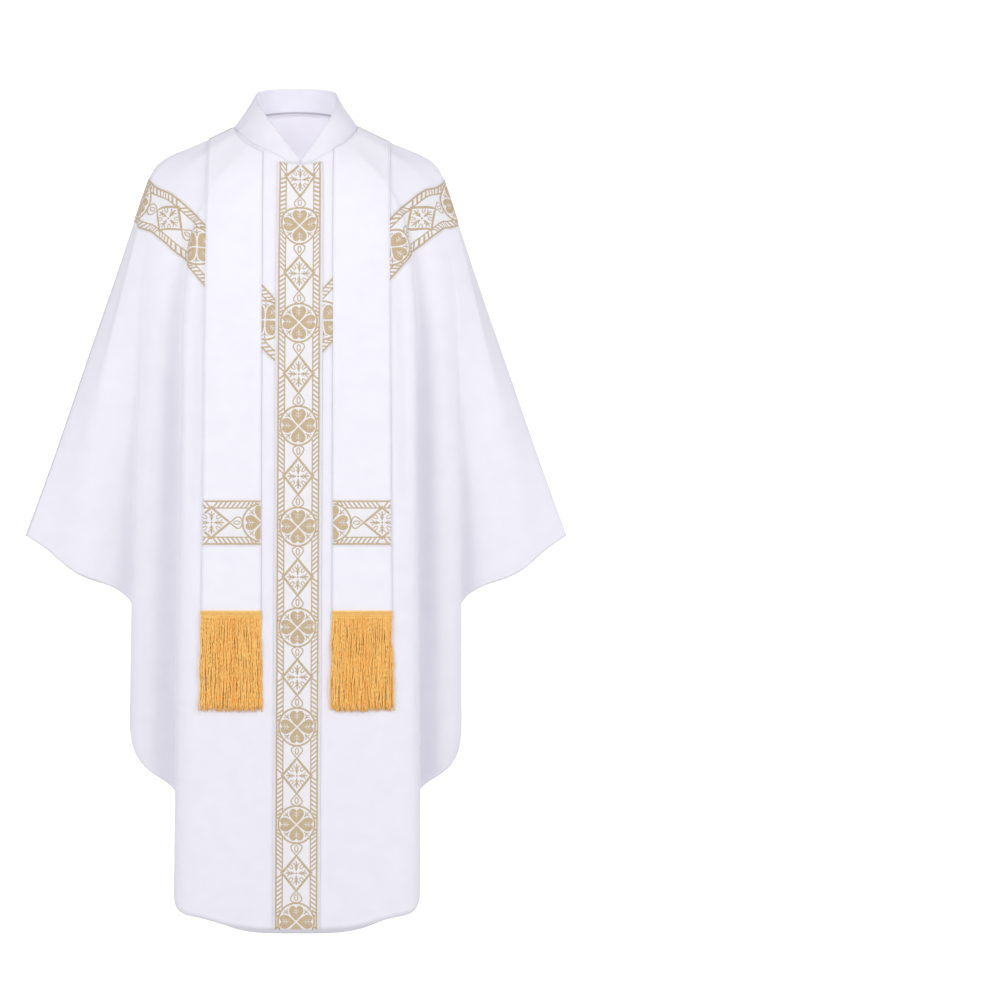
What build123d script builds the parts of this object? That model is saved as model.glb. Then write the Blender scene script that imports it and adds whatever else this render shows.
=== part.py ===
from build123d import *
import math
import os

import numpy as np

# Chasuble with its matching stole. Millimetres, +Z up, the front faces -Y.
# The origin is in the middle of the neck opening, level with the sides of the neck.
# "left" and "right" are as seen from the front: left is at -X.

# ---- driving dimensions ---------------------------------------------------------------------
PANEL_THICK = 1.0        # front and back panels
TRIM_THICK = 0.8         # galloon, stole cloth and stole lining
GALLOON_WIDTH = 74.0     # all bands are cut from one woven galloon
GALLOON_LIFT = 1.4       # clearance of a centre galloon above its panel
SHOULDER_LIFT = 2.7      # the same for the shoulder bands
STOLE_LIFT = 4.4         # clearance of the stole's lining above the panel, over the shoulder band
STOLE_TOP_WIDTH = 85.5
STOLE_END_WIDTH = 91.5
STOLE_CENTRES = {"left": (-94.0, -98.5), "right": (104.5, 106.5)}   # at the top and at the end
STOLE_HINGE_Z = -205.0   # where the stole leaves the chest and hangs free
STOLE_END_Z = -766.0
STOLE_BAND_TOP_Z = -592.0
HINGE_GAP = 5.0          # length of cloth left out at the bend of the stole
BRAID_HEIGHT = 13.0
BRAID_THICK = 3.4
FRINGE_LENGTH = 145.0
FRINGE_THICK = 4.0
FRINGE_FLARE = 2.5       # how much wider than the stole the fringe is at each side
FRINGE_LIFT = 1.4        # clearance of the braid and the cords above the panel
FRINGE_GAP = 3.0         # between the braid and the swinging cords
COLLAR_THICK = 0.9
SEWING_GAP = 1.0         # between trims that meet edge to edge
COLLAR_GAP = 0.4         # between the collar's three layers
SEAM_TAPE_THICK = 0.8
FRONT_SHIFT = 9.0        # the front hangs this much towards +X at the neck
FRONT_LEAN = 4.5         # and this much less for every metre down

# ---- garment surface ------------------------------------------------------------------------
# Guide lines run down the cloth, from the neck seam to the hem. Each has eight stations.
# The guides fan out from the centre front to the ridge of the shoulder and arm.
FRONT_GUIDES = [
    # centre of the front lobe
    [(0, -90, -62), (0, -112, -120), (0, -128, -190), (0, -138, -280),
     (0, -146, -500), (0, -150, -760), (0, -152, -1020), (0, -154, -1266)],
    [(38, -82, -44), (62, -104, -95), (84, -118, -160), (96, -130, -260),
     (103, -137, -480), (107, -141, -740), (110, -144, -1000), (112, -146, -1258)],
    [(52, -75, -37), (86, -96, -84), (116, -112, -143), (137, -123, -243),
     (147, -131, -465), (152, -135, -725), (155, -138, -985), (156, -140, -1246)],
    # edge of the front lobe, where the first fold turns back
    [(66, -64, -30), (106, -84, -72), (142, -98, -125), (170, -110, -225),
     (181, -118, -450), (185, -121, -710), (188, -123, -970), (190, -124, -1227)],
    # bottom of the first fold
    [(76, -54, -24), (118, -72, -64), (156, -84, -112), (182, -88, -205),
     (188, -72, -400), (189, -62, -620), (190, -58, -840), (190, -56, -1056)],
    # side lobe
    [(83, -44, -18), (130, -58, -56), (172, -70, -100), (206, -80, -195),
     (218, -76, -390), (222, -70, -600), (224, -66, -810), (226, -64, -1024)],
    [(89, -34, -12), (141, -46, -48), (186, -56, -88), (226, -66, -180),
     (244, -66, -370), (253, -60, -570), (258, -52, -770), (261, -46, -972)],
    # second fold, under the sleeve
    [(93, -24, -7), (149, -34, -41), (197, -42, -76), (236, -54, -160),
     (258, -58, -330), (262, -46, -480), (261, -26, -620), (260, -10, -758)],
    # sleeve
    [(96, -12, -3), (154, -18, -34), (206, -24, -62), (243, -38, -130),
     (282, -44, -280), (312, -42, -430), (332, -34, -570), (347, -24, -708)],
    [(97.5, -6, -1), (156, -9, -29.5), (208, -13, -54), (239, -24, -104),
     (277, -30, -242), (322, -26, -390), (366, -18, -535), (398, -11, -668)],
]
RIDGE_GUIDE = [(98, 0, 0), (155, 0, -27), (206, 0, -49), (237, 0, -92),
               (282, 0, -228), (331, 0, -370), (380, 0, -510), (430, 0, -647)]
BACK_GUIDES = [
    [(0, 62, 22), (0, 84, -45), (0, 100, -120), (0, 112, -230),
     (0, 122, -480), (0, 130, -750), (0, 136, -1020), (0, 140, -1285)],
    [(34, 56, 20), (56, 78, -36), (76, 94, -98), (88, 106, -215),
     (94, 115, -465), (98, 122, -730), (101, 127, -1000), (104, 131, -1276)],
    [(48, 51, 18), (79, 73, -34), (106, 89, -92), (124, 101, -206),
     (132, 110, -450), (136, 116, -712), (139, 120, -977), (141, 123, -1262)],
    [(60, 46, 15.5), (98, 66, -32), (130, 82, -84), (152, 94, -195),
     (162, 103, -430), (166, 108, -690), (169, 111, -950), (171, 113, -1240)],
    [(70, 40, 12.5), (111, 57, -30), (147, 71, -78), (166, 78, -180),
     (169, 66, -390), (169, 56, -610), (168, 50, -840), (168, 48, -1062)],
    [(79, 33, 9.5), (123, 48, -29), (163, 60, -73), (186, 68, -170),
     (194, 66, -375), (196, 62, -590), (197, 58, -810), (198, 56, -1028)],
    [(86, 25, 7), (134, 38, -28), (177, 48, -69), (205, 58, -160),
     (217, 59, -355), (222, 55, -560), (225, 49, -765), (227, 44, -975)],
    [(91, 18, 4.5), (143, 28, -27.5), (189, 36, -64), (222, 48, -148),
     (238, 52, -320), (241, 44, -475), (241, 28, -620), (240, 14, -765)],
    [(95, 10, 2.5), (150, 16, -27), (200, 22, -58), (237, 36, -125),
     (275, 42, -275), (306, 40, -428), (328, 32, -570), (345, 22, -710)],
    [(97.4, 5, 0.5), (154, 8, -27.5), (206, 12, -53), (238, 23, -102),
     (276, 29, -238), (322, 25, -388), (366, 17, -534), (398, 10, -668)],
]

# Middle line of each shoulder band as (x, z) at +X, the same seen from the front and the back.
# It rises from the V at the centre of the chest to the ridge of the shoulder.
BAND_MIDDLE = [(0, -357), (54, -299), (100, -249), (144, -201), (175, -169),
               (205, -142), (232, -124), (262, -112)]

# Collar: neck seam and top edge, from the front V round to the centre back, at +X.
COLLAR_SEAM = [(2, -90, -60), (38, -81, -42), (72, -57, -24), (97, 0, 2),
               (79, 33, 11), (40, 55, 20), (0, 61, 23)]
COLLAR_TOP = [(2, -93, -57), (28, -76, -21), (54, -50, 17), (65, -8, 43),
              (60, 24, 56), (34, 44, 61), (0, 50, 62)]


# ---- spline tools ---------------------------------------------------------------------------
def bends(knots, closed):
    """Matrix that turns the values at the knots of a cubic spline into its second derivatives."""
    steps = np.diff(knots)
    count = len(steps) if closed else len(knots)
    system = np.zeros((count, count))
    right = np.zeros((count, count))
    for i in range(count):
        if not closed and i in (0, count - 1):
            system[i, i] = 1.0
            continue
        before, after = steps[i - 1], steps[i]
        system[i, i - 1] += before / 6
        system[i, i] += (before + after) / 3
        system[i, (i + 1) % count] += after / 6
        right[i, i - 1] += 1 / before
        right[i, i] -= 1 / before + 1 / after
        right[i, (i + 1) % count] += 1 / after
    return np.linalg.solve(system, right)


def weights(t, knots, matrix, closed):
    """How much each knot's value counts at the parameter t."""
    count = len(matrix)
    if closed:
        t = (t - knots[0]) % (knots[-1] - knots[0]) + knots[0]
    i = min(max(int(np.searchsorted(knots, t)) - 1, 0), len(knots) - 2)
    j = (i + 1) % count
    step = knots[i + 1] - knots[i]
    far = (t - knots[i]) / step
    near = 1 - far
    result = (near ** 3 - near) * step ** 2 / 6 * matrix[i]
    result = result + (far ** 3 - far) * step ** 2 / 6 * matrix[j]
    result[i] += near
    result[j] += far
    return result


def running_length(rows):
    """Knots from the mean distance between neighbouring rows of points."""
    gaps = np.linalg.norm(np.diff(rows, axis=0), axis=2).mean(axis=1)
    return np.concatenate([[0.0], np.cumsum(gaps)])


def spline_through(points, count):
    """Evenly spaced points on a natural spline through the given points."""
    rows = np.array(points, dtype=float)[:, None, :]
    knots = running_length(rows)
    matrix = bends(knots, False)
    return [weights(t, knots, matrix, False) @ rows[:, 0, :] for t in np.linspace(0, knots[-1], count)]


def mirrored(guides):
    return [[(-x, y, z) for x, y, z in guide] for guide in guides]


def front_shift(z):
    return FRONT_SHIFT + FRONT_LEAN * z / 1000


def settled(points):
    """Moves the front a little towards +X; the ridges and the back stay."""
    points = np.array(points, dtype=float)
    points[..., 0] += np.clip(-points[..., 1] / 90, 0.0, 1.0) * front_shift(points[..., 2])
    return points


HALF_LOOP = FRONT_GUIDES + [RIDGE_GUIDE] + BACK_GUIDES[::-1]
NET = settled(HALF_LOOP + mirrored(HALF_LOOP[1:-1])[::-1])
AROUND = running_length(np.concatenate([NET, NET[:1]]))
DOWN = running_length(np.transpose(NET, (1, 0, 2)))
AROUND_BENDS = bends(AROUND, True)
DOWN_BENDS = bends(DOWN, False)
RIDGE_U = AROUND[len(FRONT_GUIDES)]
LOOP_U = AROUND[-1]
HEM_V = DOWN[-1]
FRONT_LOBE_EDGE = 3      # number of the guide along the edge of the front lobe


def cloth(u, v):
    """Point of the garment surface: u runs round it from the centre front, v runs down it."""
    across = weights(u, AROUND, AROUND_BENDS, True)
    return np.einsum("i,ijk,j->k", across, NET, weights(v, DOWN, DOWN_BENDS, False))


def slopes(u, v):
    step = 0.5
    low, high = max(v - step, 0.0), min(v + step, HEM_V)
    along_u = (cloth(u + step, v) - cloth(u - step, v)) / (2 * step)
    along_v = (cloth(u, high) - cloth(u, low)) / (high - low)
    return along_u, along_v


def outward(u, v):
    normal = np.cross(*slopes(u, v))
    return -normal / np.linalg.norm(normal)


def locate(x, z):
    """Parameters of the place seen at (x, z) from the front, on the shoulders or the front lobe."""
    on_shoulder = z > STOLE_HINGE_Z - HINGE_GAP
    limit = RIDGE_U if on_shoulder else AROUND[FRONT_LOBE_EDGE]
    goal = np.array([x, z])
    starts_v = np.linspace(0, HEM_V * (0.25 if on_shoulder else 1.0), 30)
    starts_u = np.linspace(0, math.copysign(limit * 0.98, x), 20)
    u, v = min(((u, v) for u in starts_u for v in starts_v),
               key=lambda start: np.linalg.norm(cloth(*start)[[0, 2]] - goal))
    for _ in range(12):
        along_u, along_v = slopes(u, v)
        miss = goal - cloth(u, v)[[0, 2]]
        move = np.linalg.solve(np.array([along_u[[0, 2]], along_v[[0, 2]]]).T, miss)
        u, v = min(max(u + move[0], -limit), limit), min(max(v + move[1], 0.0), HEM_V)
    return u, v


# ---- solids ---------------------------------------------------------------------------------
def bezier_rows(knots):
    """Matrix from the values of a natural spline to the poles of its Bezier pieces."""
    matrix = bends(knots, False)
    values = np.eye(len(knots))
    poles = [values[0]]
    for i, step in enumerate(np.diff(knots)):
        rise = (values[i + 1] - values[i]) / step
        start = rise - step / 6 * (2 * matrix[i] + matrix[i + 1])
        end = rise + step / 6 * (matrix[i] + 2 * matrix[i + 1])
        poles += [values[i] + start * step / 3, values[i + 1] - end * step / 3, values[i + 1]]
    return np.array(poles)


def bezier_net(grid, knots):
    """Poles of the smooth surface through a grid of points."""
    grid = np.array(grid)
    if knots is None:
        knots = running_length(grid), running_length(np.transpose(grid, (1, 0, 2)))
    across, along = (bezier_rows(np.array(k)) for k in knots)
    return np.einsum("ai,ijk,bj->abk", across, grid, along)


def patch(poles):
    return Face.make_bezier_surface([[Vector(*p) for p in row] for row in poles])


def slab(lower, upper, knots=None):
    """Closed thin solid between two grids of points."""
    nets = [bezier_net(lower, knots), bezier_net(upper, knots)]
    rows, columns = nets[0].shape[:2]
    faces = []
    for i in range(0, rows - 1, 3):
        for j in range(0, columns - 1, 3):
            faces += [patch(net[i:i + 4, j:j + 4]) for net in nets]
    for j in range(0, columns - 1, 3):
        faces += [patch([net[i, j:j + 4] for net in nets]) for i in (0, rows - 1)]
    for i in range(0, rows - 1, 3):
        faces += [patch([net[i:i + 4, j] for net in nets]) for j in (0, columns - 1)]
    solid = Solid(Shell(faces))
    if solid.volume < 0:
        solid = Solid(Shell([-face for face in solid.faces()]))
    return solid


def laid(places, lift, thick, knots=None):
    """Slab that follows the cloth at the given (u, v) places, from lift to lift + thick above it."""
    lower = [[cloth(*p) + outward(*p) * lift for p in row] for row in places]
    upper = [[cloth(*p) + outward(*p) * (lift + thick) for p in row] for row in places]
    return slab(lower, upper, knots)


def save(solid, name):
    export_step(solid, f"parts/{name}.step")
    print(name, round(solid.volume / 1000, 1), "cm3", "valid" if solid.is_valid else "NOT VALID")


def panel(start, end):
    """Cloth between two ridge lines; it has a column on every guide, and more beside the ridges."""
    guides = [u for u in np.concatenate([AROUND - LOOP_U, AROUND[1:]]) if start - 1 < u < end + 1]
    extra = [(a + b) / 2 for a, b in zip(guides, guides[1:])]
    columns = sorted(guides + extra[:2] + extra[-2:])
    return laid([[(u, v) for v in DOWN] for u in columns], -PANEL_THICK, PANEL_THICK, (columns, DOWN))


def centre_band(back):
    half = GALLOON_WIDTH / 2
    centre = LOOP_U / 2 if back else 0.0
    rows = sorted(list(DOWN[1:-1]) + [(a + b) / 2 for a, b in zip(DOWN, DOWN[1:])] + [16.0, HEM_V - 1.0])
    places = []
    for x in (-half, -half / 2, 0.0, half / 2, half):
        row = []
        for v in rows:
            stretch = np.linalg.norm(slopes(centre, v)[0])
            row.append((centre + x / stretch, v))
        places.append(row)
    return laid(places, GALLOON_LIFT, TRIM_THICK)


def band_height(x, offset):
    """Height of a line that runs along the shoulder band, offset square to its middle line."""
    knots = np.array([float(p[0]) for p in BAND_MIDDLE])
    heights = np.array([float(p[1]) for p in BAND_MIDDLE])
    matrix = bends(knots, False)
    here, ahead = (weights(t, knots, matrix, False) @ heights for t in (x, x + 1.0))
    return here + offset * math.hypot(1.0, ahead - here)


def band_place(u, offset):
    """Place on the guide u where that line crosses it."""
    high, low = 0.0, HEM_V * 0.6
    for _ in range(24):
        v = (high + low) / 2
        x, _, z = cloth(u, v)
        if z > band_height(abs(x), offset):
            high = v
        else:
            low = v
    return u, v


def evenly(row, count):
    """The same path over the cloth with its places at equal distances."""
    points = np.array([cloth(*p) for p in row])
    length = np.concatenate([[0.0], np.cumsum(np.linalg.norm(np.diff(points, axis=0), axis=1))])
    stops = np.linspace(0, length[-1], count)
    us, vs = np.array(row).T
    return list(zip(np.interp(stops, length, us), np.interp(stops, length, vs)))


def shoulder_band(side):
    """Band from the front V over the shoulder to the back V; it stops at the centre bands."""
    half = GALLOON_WIDTH / 2
    stop_x = half + 2 * SEWING_GAP
    chest_x = stop_x + side * front_shift(-300)

    def place(u, offset):
        return band_place(u if side > 0 else LOOP_U - u, offset)

    places = []
    for offset in (-half, 0.0, half):
        start, end = chest_x, LOOP_U / 2 - stop_x
        for _ in range(12):
            start += chest_x - side * cloth(*place(start, offset))[0]
            end -= stop_x - side * cloth(*place(end, offset))[0]
        places.append(evenly([place(u, offset) for u in np.linspace(start, end, 241)], 69))
    return laid(places, SHOULDER_LIFT, TRIM_THICK)


def stole_x(side, z, across):
    """X of the stole at a height: across is -0.5 at its inner edge and 0.5 at its outer edge."""
    share = min(max(z / STOLE_END_Z, 0.0), 1.0)
    top, end = STOLE_CENTRES[side]
    centre = top + (end - top) * share
    width = STOLE_TOP_WIDTH + (STOLE_END_WIDTH - STOLE_TOP_WIDTH) * share
    return centre + math.copysign(width, centre) * across


def stole_sheet(side, z_top, z_end, lift, thick, rows=7, extra=0.0):
    """Part of the stole between two heights; z_top may be a function of x, extra widens both sides."""
    lower, upper = [], []
    reach = 0.5 + extra / STOLE_END_WIDTH
    for across in np.linspace(-reach, reach, 5):
        x_top = stole_x(side, z_end, across)
        top = z_top(x_top) if callable(z_top) else z_top
        low_row, high_row = [], []
        for z in np.linspace(top, z_end, rows):
            u, v = locate(stole_x(side, z, across), z)
            point, normal = cloth(u, v), outward(u, v)
            low_row.append(point + normal * lift)
            high_row.append(point + normal * (lift + thick))
        lower.append(low_row)
        upper.append(high_row)
    return slab(lower, upper)


def shoulder_edge(x):
    """Height at which the stole comes out of the neck and shoulder seam, a little below the seam."""
    places = [cloth(RIDGE_U * 0.999, v) for v in np.linspace(0, HEM_V * 0.2, 60)]
    seam = [cloth(u, 0.0) for u in np.linspace(0, RIDGE_U, 60)]
    edge = sorted([(p[0], p[2]) for p in seam + places])
    return float(np.interp(abs(x), [p[0] for p in edge], [p[1] for p in edge])) - 4.0


def collar_layer(depth, thick, low, high):
    """Layer of the collar; depth is measured inwards from its outer face, low and high up its height."""
    seam = spline_through(COLLAR_SEAM, 7)
    top = spline_through(COLLAR_TOP, 7)
    seam = settled([p * [-1, 1, 1] for p in seam] + seam[-2::-1])
    top = settled([p * [-1, 1, 1] for p in top] + top[-2::-1])
    outer, inner = [], []
    for i, (a, b) in enumerate(zip(seam, top)):
        ahead = seam[min(i + 1, len(seam) - 1)] - seam[max(i - 1, 0)]
        normal = np.cross(ahead, b - a + np.array([0, 0, 4.0]))
        normal = normal / np.linalg.norm(normal)
        if np.dot(normal[:2], a[:2] - np.array([0, -10])) < 0:
            normal = -normal
        start = a + (b - a) * low
        end = a + (b - a) * high
        for rows, inset in ((outer, depth), (inner, depth + thick)):
            rows.append([p - normal * inset for p in (start, (start + end) / 2, end)])
    return slab(outer, inner)


def main():
    os.makedirs("parts", exist_ok=True)
    save(panel(-RIDGE_U, RIDGE_U), "front_panel")
    save(panel(RIDGE_U, LOOP_U - RIDGE_U), "back_panel")
    save(centre_band(False), "front_orphrey")
    save(centre_band(True), "back_orphrey")
    step = COLLAR_THICK + COLLAR_GAP
    save(collar_layer(0.0, COLLAR_THICK, 0.03, 1.0), "collar_outer")
    save(collar_layer(step, COLLAR_THICK, 0.06, 0.97), "collar_interfacing")
    save(collar_layer(2 * step, COLLAR_THICK, 0.03, 1.0), "collar_lining")
    save(collar_layer(2 * step + COLLAR_THICK + COLLAR_GAP, SEAM_TAPE_THICK, 0.0, 0.12), "neck_seam_tape")
    for side, sign in (("left", -1), ("right", 1)):
        save(shoulder_band(sign), f"shoulder_band_{side}")
        upper_lift = STOLE_LIFT + TRIM_THICK + 0.3
        hinge_top = STOLE_HINGE_Z + HINGE_GAP / 2
        hinge_low = STOLE_HINGE_Z - HINGE_GAP / 2
        save(stole_sheet(side, shoulder_edge, hinge_top, upper_lift, TRIM_THICK), f"stole_{side}_shoulder")
        save(stole_sheet(side, hinge_low, STOLE_END_Z, upper_lift, TRIM_THICK), f"stole_{side}_panel")
        save(stole_sheet(side, hinge_low - 6, STOLE_END_Z + 2, STOLE_LIFT, TRIM_THICK),
             f"stole_{side}_lining")
        save(stole_sheet(side, STOLE_BAND_TOP_Z, STOLE_BAND_TOP_Z - GALLOON_WIDTH,
                         upper_lift + TRIM_THICK + 0.3, TRIM_THICK, rows=4), f"stole_{side}_band")
        braid_low = STOLE_END_Z - SEWING_GAP - BRAID_HEIGHT
        save(stole_sheet(side, STOLE_END_Z - SEWING_GAP, braid_low, FRINGE_LIFT, BRAID_THICK, rows=2,
                         extra=FRINGE_FLARE), f"fringe_{side}_braid")
        save(stole_sheet(side, braid_low - FRINGE_GAP, braid_low - FRINGE_GAP - FRINGE_LENGTH, FRINGE_LIFT,
                         FRINGE_THICK, rows=4, extra=FRINGE_FLARE), f"fringe_{side}_cords")


main()
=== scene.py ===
import math
import random

import bpy
import numpy as np
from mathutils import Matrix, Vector


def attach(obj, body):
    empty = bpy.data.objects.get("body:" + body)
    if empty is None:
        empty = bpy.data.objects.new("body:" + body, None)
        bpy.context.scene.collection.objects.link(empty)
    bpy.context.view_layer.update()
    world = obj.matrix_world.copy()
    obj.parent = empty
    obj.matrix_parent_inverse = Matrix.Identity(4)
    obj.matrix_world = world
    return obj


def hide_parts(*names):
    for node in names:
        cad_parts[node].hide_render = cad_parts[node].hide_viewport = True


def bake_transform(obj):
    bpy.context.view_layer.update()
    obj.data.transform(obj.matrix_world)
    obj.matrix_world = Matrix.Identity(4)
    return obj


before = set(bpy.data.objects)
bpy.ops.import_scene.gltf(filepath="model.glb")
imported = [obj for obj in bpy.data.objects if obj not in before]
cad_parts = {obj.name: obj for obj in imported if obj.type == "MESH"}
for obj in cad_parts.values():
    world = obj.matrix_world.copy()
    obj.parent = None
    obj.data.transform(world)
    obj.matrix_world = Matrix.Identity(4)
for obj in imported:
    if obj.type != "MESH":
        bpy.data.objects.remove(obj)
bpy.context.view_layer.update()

# Chasuble with its stole. The cloth surface and its trims are worked out in millimetres from the
# same guide lines as the CAD panels; meshes are written in metres.
# "left" and "right" are as seen from the front.
MM = 0.001

# ---- sizes (mm) -----------------------------------------------------------------------------
GALLOON_WIDTH = 74.0
STOLE_TOP_WIDTH = 85.5
STOLE_END_WIDTH = 91.5
STOLE_CENTRES = {"left": (-94.0, -98.5), "right": (104.5, 106.5)}
STOLE_HINGE_Z = -205.0
STOLE_END_Z = -766.0
STOLE_BAND_TOP_Z = -589.5
FRINGE_END_Z = -921.0
FRONT_SHIFT = 9.0        # the front hangs this much towards +X at the neck
FRONT_LEAN = 4.5         # and this much less for every metre down

# ---- garment surface, as in the CAD model ---------------------------------------------------
# Guide lines run down the cloth, from the neck seam to the hem.
FRONT_GUIDES = [
    # centre of the front lobe
    [(0, -90, -62), (0, -112, -120), (0, -128, -190), (0, -138, -280),
     (0, -146, -500), (0, -150, -760), (0, -152, -1020), (0, -154, -1266)],
    [(38, -82, -44), (62, -104, -95), (84, -118, -160), (96, -130, -260),
     (103, -137, -480), (107, -141, -740), (110, -144, -1000), (112, -146, -1258)],
    [(52, -75, -37), (86, -96, -84), (116, -112, -143), (137, -123, -243),
     (147, -131, -465), (152, -135, -725), (155, -138, -985), (156, -140, -1246)],
    # edge of the front lobe, where the first fold turns back
    [(66, -64, -30), (106, -84, -72), (142, -98, -125), (170, -110, -225),
     (181, -118, -450), (185, -121, -710), (188, -123, -970), (190, -124, -1227)],
    # bottom of the first fold
    [(76, -54, -24), (118, -72, -64), (156, -84, -112), (182, -88, -205),
     (188, -72, -400), (189, -62, -620), (190, -58, -840), (190, -56, -1056)],
    # side lobe
    [(83, -44, -18), (130, -58, -56), (172, -70, -100), (206, -80, -195),
     (218, -76, -390), (222, -70, -600), (224, -66, -810), (226, -64, -1024)],
    [(89, -34, -12), (141, -46, -48), (186, -56, -88), (226, -66, -180),
     (244, -66, -370), (253, -60, -570), (258, -52, -770), (261, -46, -972)],
    # second fold, under the sleeve
    [(93, -24, -7), (149, -34, -41), (197, -42, -76), (236, -54, -160),
     (258, -58, -330), (262, -46, -480), (261, -26, -620), (260, -10, -758)],
    # sleeve
    [(96, -12, -3), (154, -18, -34), (206, -24, -62), (243, -38, -130),
     (282, -44, -280), (312, -42, -430), (332, -34, -570), (347, -24, -708)],
    [(97.5, -6, -1), (156, -9, -29.5), (208, -13, -54), (239, -24, -104),
     (277, -30, -242), (322, -26, -390), (366, -18, -535), (398, -11, -668)],
]
RIDGE_GUIDE = [(98, 0, 0), (155, 0, -27), (206, 0, -49), (237, 0, -92),
               (282, 0, -228), (331, 0, -370), (380, 0, -510), (430, 0, -647)]
BACK_GUIDES = [
    [(0, 62, 22), (0, 84, -45), (0, 100, -120), (0, 112, -230),
     (0, 122, -480), (0, 130, -750), (0, 136, -1020), (0, 140, -1285)],
    [(34, 56, 20), (56, 78, -36), (76, 94, -98), (88, 106, -215),
     (94, 115, -465), (98, 122, -730), (101, 127, -1000), (104, 131, -1276)],
    [(48, 51, 18), (79, 73, -34), (106, 89, -92), (124, 101, -206),
     (132, 110, -450), (136, 116, -712), (139, 120, -977), (141, 123, -1262)],
    [(60, 46, 15.5), (98, 66, -32), (130, 82, -84), (152, 94, -195),
     (162, 103, -430), (166, 108, -690), (169, 111, -950), (171, 113, -1240)],
    [(70, 40, 12.5), (111, 57, -30), (147, 71, -78), (166, 78, -180),
     (169, 66, -390), (169, 56, -610), (168, 50, -840), (168, 48, -1062)],
    [(79, 33, 9.5), (123, 48, -29), (163, 60, -73), (186, 68, -170),
     (194, 66, -375), (196, 62, -590), (197, 58, -810), (198, 56, -1028)],
    [(86, 25, 7), (134, 38, -28), (177, 48, -69), (205, 58, -160),
     (217, 59, -355), (222, 55, -560), (225, 49, -765), (227, 44, -975)],
    [(91, 18, 4.5), (143, 28, -27.5), (189, 36, -64), (222, 48, -148),
     (238, 52, -320), (241, 44, -475), (241, 28, -620), (240, 14, -765)],
    [(95, 10, 2.5), (150, 16, -27), (200, 22, -58), (237, 36, -125),
     (275, 42, -275), (306, 40, -428), (328, 32, -570), (345, 22, -710)],
    [(97.4, 5, 0.5), (154, 8, -27.5), (206, 12, -53), (238, 23, -102),
     (276, 29, -238), (322, 25, -388), (366, 17, -534), (398, 10, -668)],
]
BAND_MIDDLE = [(0, -357), (54, -299), (100, -249), (144, -201), (175, -169),
               (205, -142), (232, -124), (262, -112)]
COLLAR_TOP = [(2, -93, -57), (28, -76, -21), (54, -50, 17), (65, -8, 43),
              (60, 24, 56), (34, 44, 61), (0, 50, 62)]


# ---- spline tools ---------------------------------------------------------------------------
def bends(knots, closed):
    """Matrix from the values at the knots of a cubic spline to its second derivatives."""
    steps = np.diff(knots)
    count = len(steps) if closed else len(knots)
    system = np.zeros((count, count))
    right = np.zeros((count, count))
    for i in range(count):
        if not closed and i in (0, count - 1):
            system[i, i] = 1.0
            continue
        before, after = steps[i - 1], steps[i]
        system[i, i - 1] += before / 6
        system[i, i] += (before + after) / 3
        system[i, (i + 1) % count] += after / 6
        right[i, i - 1] += 1 / before
        right[i, i] -= 1 / before + 1 / after
        right[i, (i + 1) % count] += 1 / after
    return np.linalg.solve(system, right)


def weights(ts, knots, matrix, closed):
    """One row for each parameter: how much each knot's value counts there."""
    ts = np.atleast_1d(np.asarray(ts, float))
    count = len(matrix)
    if closed:
        ts = (ts - knots[0]) % (knots[-1] - knots[0]) + knots[0]
    i = np.clip(np.searchsorted(knots, ts) - 1, 0, len(knots) - 2)
    j = (i + 1) % count
    step = knots[i + 1] - knots[i]
    far = (ts - knots[i]) / step
    near = 1 - far
    result = ((near ** 3 - near) * step ** 2 / 6)[:, None] * matrix[i]
    result += ((far ** 3 - far) * step ** 2 / 6)[:, None] * matrix[j]
    rows = np.arange(len(ts))
    result[rows, i] += near
    result[rows, j] += far
    return result


def running_length(rows):
    """Mean distance from the first row of points to each row."""
    gaps = np.linalg.norm(np.diff(rows, axis=0), axis=2).mean(axis=1)
    return np.concatenate([[0.0], np.cumsum(gaps)])


def length_along(points):
    """Distance along a polyline from its first point to each point."""
    return running_length(points[:, None, :])


def points_at(stops, points):
    """Points of a polyline at distances along it."""
    length = length_along(points)
    return np.stack([np.interp(stops, length, points[:, k]) for k in range(3)], axis=1)


def spline_through(points, count):
    points = np.array(points, dtype=float)
    knots = length_along(points)
    return weights(np.linspace(0, knots[-1], count), knots, bends(knots, False), False) @ points


def mirrored(guides):
    return [[(-x, y, z) for x, y, z in guide] for guide in guides]


def settled(points):
    """The front hangs a little towards +X, most at the neck; the ridges and the back stay."""
    points = np.array(points, dtype=float)
    shift = FRONT_SHIFT + FRONT_LEAN * points[..., 2] / 1000
    points[..., 0] += np.clip(-points[..., 1] / 90, 0.0, 1.0) * shift
    return points


HALF_LOOP = FRONT_GUIDES + [RIDGE_GUIDE] + BACK_GUIDES[::-1]
NET = settled(HALF_LOOP + mirrored(HALF_LOOP[1:-1])[::-1])
AROUND = running_length(np.concatenate([NET, NET[:1]]))
DOWN = running_length(np.transpose(NET, (1, 0, 2)))
AROUND_BENDS = bends(AROUND, True)
DOWN_BENDS = bends(DOWN, False)
RIDGE_U = AROUND[len(FRONT_GUIDES)]
LOOP_U = AROUND[-1]
HEM_V = DOWN[-1]
FRONT_LOBE_EDGE = 3
GROOVE_U = AROUND[2] * 0.45 + AROUND[3] * 0.55     # shallow hollow beside each stole


def plain_cloth(u, v):
    """Points of the smooth surface at matching arrays of u and v."""
    across = weights(u, AROUND, AROUND_BENDS, True)
    down = weights(v, DOWN, DOWN_BENDS, False)
    return np.einsum("pi,ijk,pj->pk", across, NET, down, optimize=True)


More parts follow.
